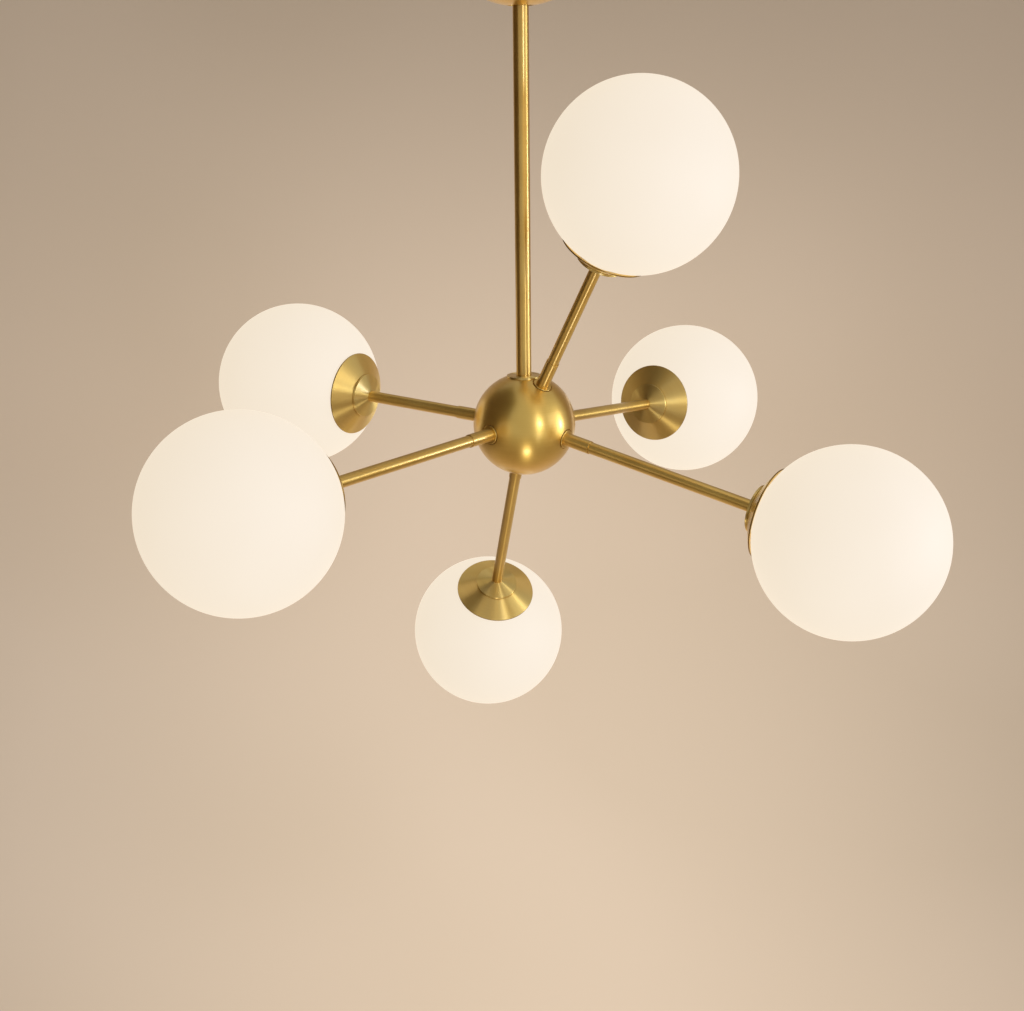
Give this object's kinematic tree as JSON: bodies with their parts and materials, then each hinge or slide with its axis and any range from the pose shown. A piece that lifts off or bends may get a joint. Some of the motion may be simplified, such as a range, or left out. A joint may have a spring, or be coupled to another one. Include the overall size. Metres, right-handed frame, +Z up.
{
  "type": "sputnik chandelier",
  "caption": "Ceiling chandelier: brushed brass arms radiate from a ball hub on a drop rod, each with a cone cap and a lit opal glass globe; a domed canopy hides a swivel.",
  "frame": {"origin": "centre of the mounting bracket's top face, on the ceiling and on the drop rod's axis", "axes": "+Z up out of the ceiling; +X along the bracket's strap; -Y towards the picture's camera"},
  "size_m": [0.6077, 0.622, 0.7105],
  "materials": {
    "satin_brass": "satin, fine brushed and lacquered",
    "turned_brass": "plain turned",
    "zinc_steel": "zinc plated sheet",
    "opal_glass": "opal white, satin outside, lit from inside",
    "bulb_diffuser": "frosted diffuser",
    "porcelain": "unglazed white",
    "silicone": "translucent white",
    "lead_sheath": "smooth sheath"
  },
  "bodies": {
    "ceiling_mount": {"mounting_bracket": "zinc_steel", "swivel_yoke": "zinc_steel", "yoke_rivets": "zinc_steel", "earth_screw": "turned_brass", "canopy": "satin_brass", "canopy_side_screws": "satin_brass"},
    "seat_ring": {"ball_seat_ring": "turned_brass"},
    "swivel_ball": {"hanger_ball": "turned_brass"},
    "stem": {"downrod": "satin_brass", "rod_top_nut": "turned_brass", "hub_shell": "satin_brass", "hub_top_disc": "satin_brass", "hub_rod_nut": "turned_brass", "hub_bottom_plug": "satin_brass", "hub_terminal_block": "porcelain", "supply_lead": "lead_sheath", "arm_collars": "satin_brass", "arm_sleeves": "satin_brass", "sleeve_nuts": "turned_brass", "arm_leads": "lead_sheath", "glass_carriers": "turned_brass", "cap_nuts": "turned_brass", "glass_gaskets": "silicone", "arm_tube_top": "satin_brass", "boss_disc_top": "satin_brass", "shade_cap_top": "satin_brass", "lamp_holder_top": "porcelain", "arm_tube_left": "satin_brass", "boss_disc_left": "satin_brass", "shade_cap_left": "satin_brass", "lamp_holder_left": "porcelain", "arm_tube_front": "satin_brass", "boss_disc_front": "satin_brass", "shade_cap_front": "satin_brass", "lamp_holder_front": "porcelain", "arm_tube_bottom": "satin_brass", "boss_disc_bottom": "satin_brass", "shade_cap_bottom": "satin_brass", "lamp_holder_bottom": "porcelain", "arm_tube_back": "satin_brass", "boss_disc_back": "satin_brass", "shade_cap_back": "satin_brass", "lamp_holder_back": "porcelain", "arm_tube_right": "satin_brass", "boss_disc_right": "satin_brass", "shade_cap_right": "satin_brass", "lamp_holder_right": "porcelain"},
    "globe_top": {"globe_top": "opal_glass"},
    "bulb_top": {"bulb_top": "bulb_diffuser"},
    "globe_left": {"globe_left": "opal_glass"},
    "bulb_left": {"bulb_left": "bulb_diffuser"},
    "globe_front": {"globe_front": "opal_glass"},
    "bulb_front": {"bulb_front": "bulb_diffuser"},
    "globe_bottom": {"globe_bottom": "opal_glass"},
    "bulb_bottom": {"bulb_bottom": "bulb_diffuser"},
    "globe_back": {"globe_back": "opal_glass"},
    "bulb_back": {"bulb_back": "bulb_diffuser"},
    "globe_right": {"globe_right": "opal_glass"},
    "bulb_right": {"bulb_right": "bulb_diffuser"}
  },
  "joints": [
    {"name": "swing_x", "type": "hinge", "parent": "ceiling_mount", "child": "seat_ring", "pos_m": [0, 0, -0.022], "axis": [1, 0, 0], "range_deg": [-8, 8]},
    {"name": "swing_y", "type": "hinge", "parent": "seat_ring", "child": "swivel_ball", "pos_m": [0, 0, -0.022], "axis": [0, 1, 0], "range_deg": [-8, 8]},
    {"name": "turn", "type": "hinge", "parent": "swivel_ball", "child": "stem", "pos_m": [0, 0, -0.022], "axis": [0, 0, 1], "range_deg": [-175, 175]},
    {"name": "globe_top_off", "type": "slide", "parent": "stem", "child": "globe_top", "axis": [0.3557, -0.362, 0.8616], "range_m": [0, 0.08]},
    {"name": "bulb_top_out", "type": "slide", "parent": "stem", "child": "bulb_top", "axis": [0.3557, -0.362, 0.8616], "range_m": [0, 0.014]},
    {"name": "globe_left_off", "type": "slide", "parent": "stem", "child": "globe_left", "axis": [-0.8518, 0.522, 0.0436], "range_m": [0, 0.08]},
    {"name": "bulb_left_out", "type": "slide", "parent": "stem", "child": "bulb_left", "axis": [-0.8518, 0.522, 0.0436], "range_m": [0, 0.014]},
    {"name": "globe_front_off", "type": "slide", "parent": "stem", "child": "globe_front", "axis": [-0.6816, -0.7309, -0.0349], "range_m": [0, 0.08]},
    {"name": "bulb_front_out", "type": "slide", "parent": "stem", "child": "bulb_front", "axis": [-0.6816, -0.7309, -0.0349], "range_m": [0, 0.014]},
    {"name": "globe_bottom_off", "type": "slide", "parent": "stem", "child": "globe_bottom", "axis": [-0.1225, 0.5307, -0.8387], "range_m": [0, 0.08]},
    {"name": "bulb_bottom_out", "type": "slide", "parent": "stem", "child": "bulb_bottom", "axis": [-0.1225, 0.5307, -0.8387], "range_m": [0, 0.014]},
    {"name": "globe_back_off", "type": "slide", "parent": "stem", "child": "globe_back", "axis": [0.5556, 0.8237, -0.1132], "range_m": [0, 0.08]},
    {"name": "bulb_back_out", "type": "slide", "parent": "stem", "child": "bulb_back", "axis": [0.5556, 0.8237, -0.1132], "range_m": [0, 0.014]},
    {"name": "globe_right_off", "type": "slide", "parent": "stem", "child": "globe_right", "axis": [0.8103, -0.5569, -0.1822], "range_m": [0, 0.08]},
    {"name": "bulb_right_out", "type": "slide", "parent": "stem", "child": "bulb_right", "axis": [0.8103, -0.5569, -0.1822], "range_m": [0, 0.014]}
  ]
}
